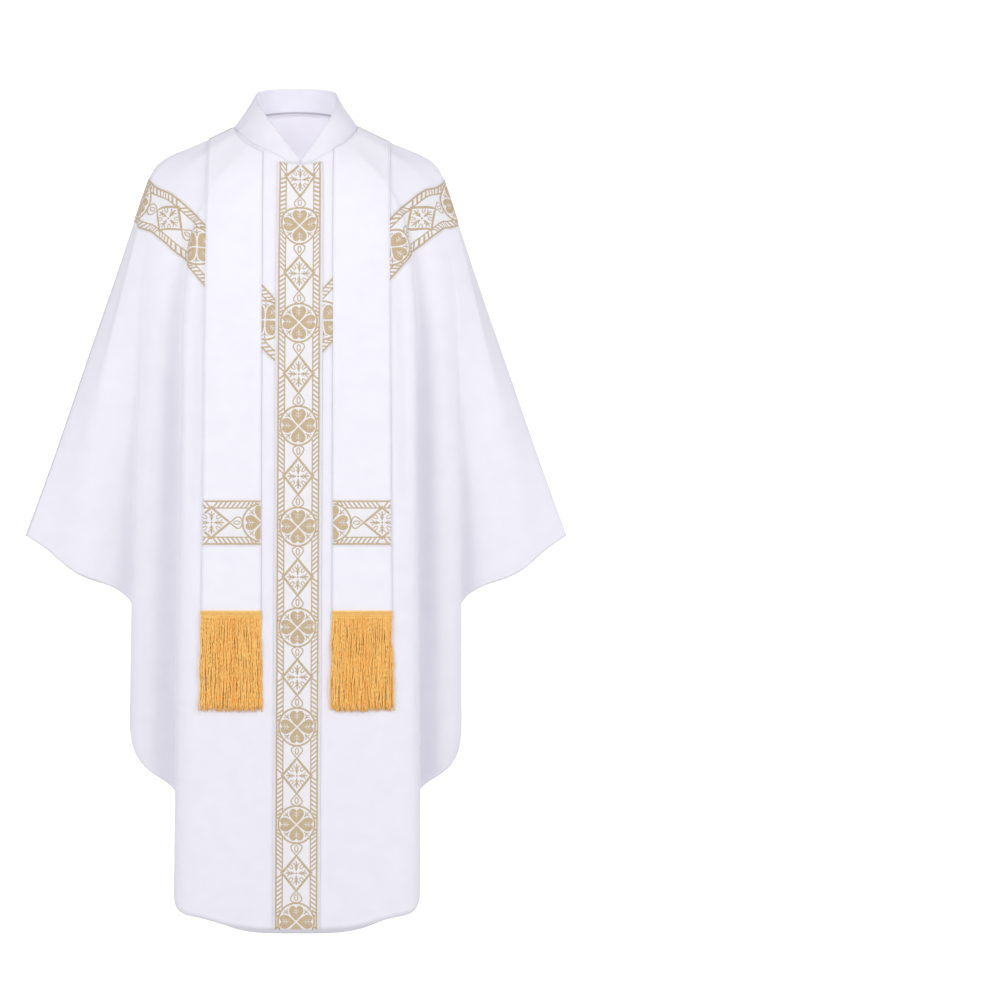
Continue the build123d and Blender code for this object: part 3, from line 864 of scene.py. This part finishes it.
def shoulder_band(side, sign):
    """Arm of the Y from the chest over the shoulder to the back, cut along the centre bands."""
    fine = np.linspace(4.0, LOOP_U / 2 - 4.0, 1500)
    if sign < 0:
        fine = LOOP_U - fine
    fine_v = band_middle(fine)
    track = plain_cloth(fine, fine_v)
    length = length_along(track)
    s = np.linspace(0, length[-1], 170)
    u, v = np.interp(s, length, fine), np.interp(s, length, fine_v)
    u, v = smoothed(u, 12), smoothed(v, 12)
    grid_u, grid_v = np.zeros((len(s), len(ACROSS))), np.zeros((len(s), len(ACROSS)))
    middle = len(ACROSS) // 2
    grid_u[:, middle], grid_v[:, middle] = u, v
    ahead_u, ahead_v = np.gradient(u), np.gradient(v)
    e, f, g = metric(u, v)
    side_u, side_v = -(f * ahead_u + g * ahead_v), e * ahead_u + f * ahead_v
    size = np.sqrt(e * side_u ** 2 + 2 * f * side_u * side_v + g * side_v ** 2)
    side_u, side_v = smoothed(side_u / size, 90), smoothed(side_v / size, 90)
    for step in (1, -1):
        here_u, here_v = u.copy(), v.copy()
        for j in range(middle + step, len(ACROSS) if step > 0 else -1, step):
            width = -(ACROSS[1] - ACROSS[0]) * step * sign
            e, f, g = metric(here_u, here_v)
            size = np.sqrt(e * side_u ** 2 + 2 * f * side_u * side_v + g * side_v ** 2)
            here_u = here_u + side_u * width / size
            here_v = here_v + side_v * width / size
            grid_u[:, j], grid_v[:, j] = smoothed(here_u, 3), smoothed(here_v, 3)
    band = Band(s, ACROSS, grid_u, grid_v, 0.2)
    seen = cloth(grid_u, grid_v)
    half = len(s) // 2
    ends = np.zeros(len(ACROSS)), np.zeros(len(ACROSS))
    for j in range(len(ACROSS)):
        x = seen[:, j, 0] * sign
        shift = (FRONT_SHIFT - 0.3 * FRONT_LEAN) * sign
        ends[0][j] = np.interp(HALF_BAND - 3.0 + shift, np.maximum.accumulate(x[:half]), s[:half])
        back = np.maximum.accumulate(x[:half:-1])
        ends[1][j] = np.interp(HALF_BAND - 3.0, back, s[:half:-1])
    first = np.interp(151.0, np.abs(track[:600, 0]), length[:600])
    pattern = galloon_pattern(0, length[-1], first % PERIOD)
    make_band(f"shoulder_ribbon_{side}", band, pattern, f"shoulder_band_{side}", "garment",
              ends)


shoulder_band("left", -1)
shoulder_band("right", 1)


# ---- collar ---------------------------------------------------------------------------------
COLLAR_COLUMNS = 90      # from the middle of the front to the middle of the back
COLLAR_ROWS = 25
COLLAR_STITCH = 3.6


def collar_seam(start, end):
    edge = plain_cloth(np.linspace(start, end, 400), np.zeros(400))
    return points_at(np.linspace(0, length_along(edge)[-1], COLLAR_COLUMNS), edge)


def collar_grid():
    """Points and outward normals of the collar's outer face, from the seam to the top edge."""
    seam = np.concatenate([collar_seam(-2.0, -LOOP_U / 2), collar_seam(2.0, LOOP_U / 2)[-2::-1]])
    top = spline_through(COLLAR_TOP, COLLAR_COLUMNS)
    top = settled(np.concatenate([top * [-1, 1, 1], top[-2::-1]]))
    share = np.linspace(0, 1, COLLAR_ROWS)[None, :, None]
    points = seam[:, None, :] * (1 - share) + top[:, None, :] * share
    middle = np.array([0.0, -8.0, 0.0])
    bulge = points - middle
    bulge[:, :, 2] = 0
    bulge /= np.linalg.norm(bulge, axis=2)[:, :, None]
    points = points + bulge * (np.sin(np.pi * share) * 1.6)
    along = np.gradient(points, axis=0)
    up = np.gradient(points, axis=1) + np.array([0, 0, 0.3])
    normal = np.cross(up, along)
    normal /= np.linalg.norm(normal, axis=2)[:, :, None]
    flip = np.sign((normal * bulge).sum(axis=2))[:, :, None]
    return points, normal * flip


def collar_shell(name, low, high, outer_depth, inner_depth, material, node):
    points, normals = collar_grid()
    rows = slice(int(low * (COLLAR_ROWS - 1)), int(high * (COLLAR_ROWS - 1)) + 1)
    points, normals = points[:, rows], normals[:, rows]
    obj = shell(name, points - normals * outer_depth, points - normals * inner_depth, material)
    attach(obj, "garment")
    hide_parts(node)
    return obj


collar = collar_shell("collar_outer_cloth", 0.0, 1.0, -0.2, 1.0, COLLAR_CLOTH, "collar_outer")
inside = collar_shell("collar_inside_cloth", 0.0, 1.0, 1.9, 2.9, LINING, "collar_lining")
stiffener = collar_shell("collar_stiffener", 0.1, 0.95, 1.1, 1.8, LINING, "collar_interfacing")


def collar_details():
    """Folded top edge, topstitching, the roll of the seam and the overlock inside the back neck."""
    points, normals = collar_grid()
    rim = Bundle()
    rim.add(*tube(points[:, -1] - normals[:, -1] * 1.35, 1.65, 8))
    rim = rim.build("collar_folded_edge", COLLAR_CLOTH)
    stitches = Bundle()
    for row in (22, 1):
        add_stitches(stitches, points[:, row] + normals[:, row] * 0.25, 2, 4, COLLAR_STITCH, 0.7, 0.24)
    stitches = stitches.build("collar_topstitching", WHITE_THREAD)
    seam = Bundle()
    seam.add(*tube(points[:, 0] - normals[:, 0] * 0.2, 1.1, 8))
    seam = seam.build("collar_seam_roll", CLOTH)
    zigzag = Bundle()
    high = points[40:-40, 3] - normals[40:-40, 3] * 3.3
    low = points[40:-40, 1] - normals[40:-40, 1] * 3.3
    length = length_along(high)
    stops = np.arange(0, length[-1], 1.3)
    low = np.stack([np.interp(stops, length, low[:, k]) for k in range(3)], axis=1)
    path = points_at(stops, high)
    path[1::2] = low[1::2]
    zigzag.add(*tube(path, 0.42, 5))
    zigzag = zigzag.build("neck_overlock_stitches", GREY_THREAD)
    for obj, slot in ((rim, "collar_cloth"), (stitches, "collar_cloth"), (seam, "garment_cloth"),
                      (zigzag, "seam_tape")):
        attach(obj, "garment")
    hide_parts("neck_seam_tape")


collar_details()


# ---- stole ----------------------------------------------------------------------------------
STOLE_LIFT = 1.9
STOLE_THICK = 0.7


def stole_x(side, z, across):
    """x of the stole at height z; across runs from -0.5 at the inner edge to 0.5 at the outer."""
    share = np.clip(z / STOLE_END_Z, 0.0, 1.0)
    top, end = STOLE_CENTRES[side]
    centre = top + (end - top) * share
    width = STOLE_TOP_WIDTH + (STOLE_END_WIDTH - STOLE_TOP_WIDTH) * share
    return centre + np.sign(centre) * width * across


def shoulder_edge(x):
    """Height of the neck seam and the shoulder ridge at x."""
    seam_u = np.linspace(0, RIDGE_U, 80)
    seam = plain_cloth(seam_u, np.zeros_like(seam_u))
    ridge_v = np.linspace(0, HEM_V * 0.2, 80)
    ridge = plain_cloth(np.full_like(ridge_v, RIDGE_U), ridge_v)
    edge = np.concatenate([seam, ridge])
    order = np.argsort(edge[:, 0])
    return np.interp(np.abs(x), edge[order, 0], edge[order, 2])


def stole_grid(side):
    """u and v of the stole's whole end, from the shoulder edge to just inside the fringe's braid."""
    across = np.linspace(-0.5, 0.5, 27)
    share = np.linspace(0, 1, 190)[:, None]
    top = shoulder_edge(stole_x(side, -30.0, across)) - 1.2
    z = top * (1 - share) + (STOLE_END_Z - 7) * share
    x = stole_x(side, z, across)
    upper = z > STOLE_HINGE_Z - 10
    u_top, v_top = locate(x, z, RIDGE_U)
    u_low, v_low = locate(x, z, AROUND[FRONT_LOBE_EDGE])
    return np.where(upper, u_top, u_low), np.where(upper, v_top, v_low)


def bent(obj):
    """Bakes the object's transform into its mesh."""
    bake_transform(obj)


def stole(side):
    u, v = stole_grid(side)
    outer = cloth_shell(f"stole_{side}_cloth", u, v, STOLE_LIFT, STOLE_THICK, STOLE_CLOTH)
    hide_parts(f"stole_{side}_shoulder", f"stole_{side}_panel")
    under = cloth_shell(f"stole_{side}_under", u[2:, 1:-1], v[2:, 1:-1], STOLE_LIFT - 0.8, 0.6,
                        LINING)
    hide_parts(f"stole_{side}_lining")
    rolls = Bundle()
    for column in (0, -1):
        points = cloth(u[:, column], v[:, column], STOLE_LIFT + 0.1)
        rolls.add(*tube(points, 0.85, 8))
    rolls = rolls.build(f"stole_{side}_edges", STOLE_CLOTH)
    for obj in (outer, under, rolls):
        bent(obj)
    stole_band(side)
    fringe(side)


def stole_band(side):
    """The galloon across the stole, with half a circle at the inner edge and a diamond outside."""
    across = np.linspace(-0.505, 0.505, 34)
    z = np.linspace(STOLE_BAND_TOP_Z, STOLE_BAND_TOP_Z - GALLOON_WIDTH, 9)
    u, v = locate(stole_x(side, z, across[:, None]), z, AROUND[FRONT_LOBE_EDGE])
    width = (STOLE_TOP_WIDTH + (STOLE_END_WIDTH - STOLE_TOP_WIDTH) * 0.82) * 1.01
    band = Band(np.linspace(0, width, 34), ACROSS, u, v, STOLE_LIFT + STOLE_THICK + 0.15)
    make_band(f"stole_{side}_ribbon", band, galloon_pattern(0, width, -2.0), f"stole_{side}_band",
              f"stole_{side}")


BRAID_ROWS = ((0.0, 1.5), (3.2, 1.0), (6.0, 1.0), (8.6, 1.2))      # drop, radius
CORD_LAYERS = ((0, 1.4, 62), (1, 2.9, 48), (0.5, 4.3, 44))         # stagger, lift, count
CORD_POINTS = 40
PLY_RADIUS = 0.78
PLY_OFFSET = 0.62


def fringe(side):
    """Header braid of twisted rows, and the cords that hang from it."""
    draw = random.Random(7 if side == "left" else 11)
    edge = STOLE_END_WIDTH / 2 + 1.6
    centre = STOLE_CENTRES[side][1]

    def hanging(x, z, lift):
        u, v = locate(x, z, AROUND[FRONT_LOBE_EDGE])
        return cloth(u, v, lift)

    braid = Bundle()
    x = np.linspace(-edge, edge, 220)
    for row, (drop, radius) in enumerate(BRAID_ROWS):
        for phase in (0.0, math.pi):
            turn = x * 1.5 * (1 if row % 2 == 0 else -1) + phase
            z = STOLE_END_Z - 0.5 - drop + 0.7 * radius * np.cos(turn)
            points = hanging(centre + x, z, 3.6 + 0.6 * radius * np.sin(turn))
            braid.add(*tube(points, radius * 0.72, 6))
    strip_x, strip_z = np.meshgrid(centre + np.linspace(-edge, edge, 40),
                                   np.linspace(STOLE_END_Z + 0.3, STOLE_END_Z - 9.5, 5), indexing="ij")
    braid.add(*shell_mesh(hanging(strip_x, strip_z, 3.4), hanging(strip_x, strip_z, 2.2)))
    braid = braid.build(f"fringe_{side}_header", HEADER)
    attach(braid, f"stole_{side}")
    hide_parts(f"fringe_{side}_braid")

    cords = Bundle()
    top = STOLE_END_Z - 7.0
    fall = np.linspace(0, 1, CORD_POINTS)
    radius = np.full(CORD_POINTS, PLY_RADIUS)
    radius[-3:] = (0.7, 0.6, 0.35)
    for stagger, lift, count in CORD_LAYERS:
        for k in range(count):
            share = (k + 0.5 * stagger + draw.uniform(-0.2, 0.2)) / count
            start = centre + (share - 0.5) * 2 * (edge - 1.0)
            spread = (share - 0.5) * draw.uniform(1.0, 7.0)
            end_z = FRINGE_END_Z + draw.uniform(-3.0, 6.0)
            wave = draw.uniform(0.5, 1.6) * np.sin(fall * draw.uniform(7, 15) + draw.uniform(0, 6.3))
            wave += draw.uniform(0.2, 0.5) * np.sin(fall * draw.uniform(30, 55) + draw.uniform(0, 6.3))
            lean = draw.uniform(-1.6, 1.6) * fall
            path_x = start + spread * fall + (wave + lean) * np.minimum(fall * 5, 1)
            path_z = top + (end_z - top) * fall
            depth = lift + 0.7 * np.sin(fall * draw.uniform(4, 10) + draw.uniform(0, 6.3))
            path = hanging(path_x, path_z, depth)
            turn = fall * draw.uniform(52, 64) + draw.uniform(0, 6.3)
            for phase in (0.0, math.pi):
                twist = np.stack([np.cos(turn + phase), np.sin(turn + phase), np.zeros_like(turn)], axis=1)
                cords.add(*tube(path + twist * PLY_OFFSET, radius, 5))
    cords = cords.build(f"fringe_{side}_strands", FRINGE)
    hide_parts(f"fringe_{side}_cords")
    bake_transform(cords)


stole("left")
stole("right")


# ---- stage, light and camera ----------------------------------------------------------------
def stage_part(name, profile, tone, glow):
    """Round part of the stage, turned from a profile of (radius, height) in metres.

    tone is how pale its paper is and glow how strongly it shines by itself.
    """
    turns = 64
    angles = np.linspace(0, 2 * math.pi, turns, endpoint=False)
    verts, faces = [], []
    for radius, height in profile:
        ring = [radius * np.cos(angles), radius * np.sin(angles), np.full(turns, height)]
        verts.append(np.stack(ring, axis=1) / MM)
    for i in range(len(profile) - 1):
        for k in range(turns):
            a, b = i * turns + k, i * turns + (k + 1) % turns
            faces.append((a, b, b + turns, a + turns))
    n = Nodes(name + "_paper")
    coords = n.add("ShaderNodeTexCoord").outputs["Object"]
    cloud = n.add("ShaderNodeTexNoise", {"Vector": coords, "Scale": 0.6, "Detail": 2.0})
    ramp = n.add("ShaderNodeMapRange", {"Value": cloud.outputs["Fac"], "To Min": tone - 0.01,
                                        "To Max": tone + 0.01})
    grey = ramp.outputs["Result"]
    tint = n.add("ShaderNodeCombineColor", {"Red": grey, "Green": grey, "Blue": grey})
    n.link(tint.outputs["Color"], "Base Color")
    n.fix({"Roughness": 0.9, "Specular IOR Level": 0.0, "Emission Color": (1.0, 1.0, 1.0, 1.0),
           "Emission Strength": glow})
    add_object(name, np.concatenate(verts), faces, n.material)


def stage():
    """Pale round floor that turns up into a wall that shines softly, further away than the camera."""
    floor_z, bend, inner = -2.5, 2.0, 15.0
    stage_part("stage_floor", [(r, floor_z) for r in (0.01, 4.0, 9.0, inner)], 0.75, 0.2)
    wall = [(inner, floor_z)]
    for k in range(1, 13):
        angle = k / 12 * math.pi / 2
        wall.append((inner + bend * math.sin(angle), floor_z + bend * (1 - math.cos(angle))))
    stage_part("stage_wall", wall + [(inner + bend, 2.5)], 0.94, 0.65)


def area_light(name, location, target, size, power):
    data = bpy.data.lights.new(name, "AREA")
    data.shape = "RECTANGLE"
    data.size, data.size_y = size
    data.energy = power
    obj = bpy.data.objects.new(name, data)
    obj.location = location
    obj.rotation_euler = (Vector(target) - Vector(location)).to_track_quat("-Z", "Y").to_euler()
    obj.visible_camera = False
    bpy.context.collection.objects.link(obj)


def lights():
    world = bpy.data.worlds.new("studio")
    world.use_nodes = True
    sky = world.node_tree.nodes["Background"].inputs
    sky["Color"].default_value = (0.93, 0.95, 1.0, 1.0)
    sky["Strength"].default_value = 0.36
    bpy.context.scene.world = world
    area_light("key_light", (-2.3, -3.2, 1.9), (0.0, 0.0, -0.3), (2.2, 2.2), 69)
    area_light("fill_light", (2.7, -3.0, 1.5), (0.0, 0.0, -0.3), (2.2, 2.2), 57)
    area_light("top_light", (0.0, -0.6, 3.2), (0.0, 0.0, -0.6), (2.6, 2.6), 2)
    area_light("back_light", (0.6, 3.4, 0.9), (0.0, 0.0, -0.6), (2.4, 2.4), 45)
    area_light("inner_light", (0.006, -0.035, -0.16), (0.0, 0.07, -0.03), (0.08, 0.08), 0.18)


CAMERA_DISTANCE = 14.0
VIEW_WIDTH = 1.585       # width of the picture at the garment, in metres
VIEW_CENTRE = (0.323, -0.591)


def camera():
    data = bpy.data.cameras.new("camera")
    data.sensor_width = 36.0
    data.lens = data.sensor_width * CAMERA_DISTANCE / VIEW_WIDTH
    data.clip_end = 60.0
    obj = bpy.data.objects.new("camera", data)
    obj.location = (VIEW_CENTRE[0], -CAMERA_DISTANCE, VIEW_CENTRE[1])
    obj.rotation_euler = (math.pi / 2, 0.0, 0.0)
    bpy.context.collection.objects.link(obj)
    bpy.context.scene.camera = obj


stage()
lights()
camera()
bpy.context.scene.view_settings.view_transform = "Standard"
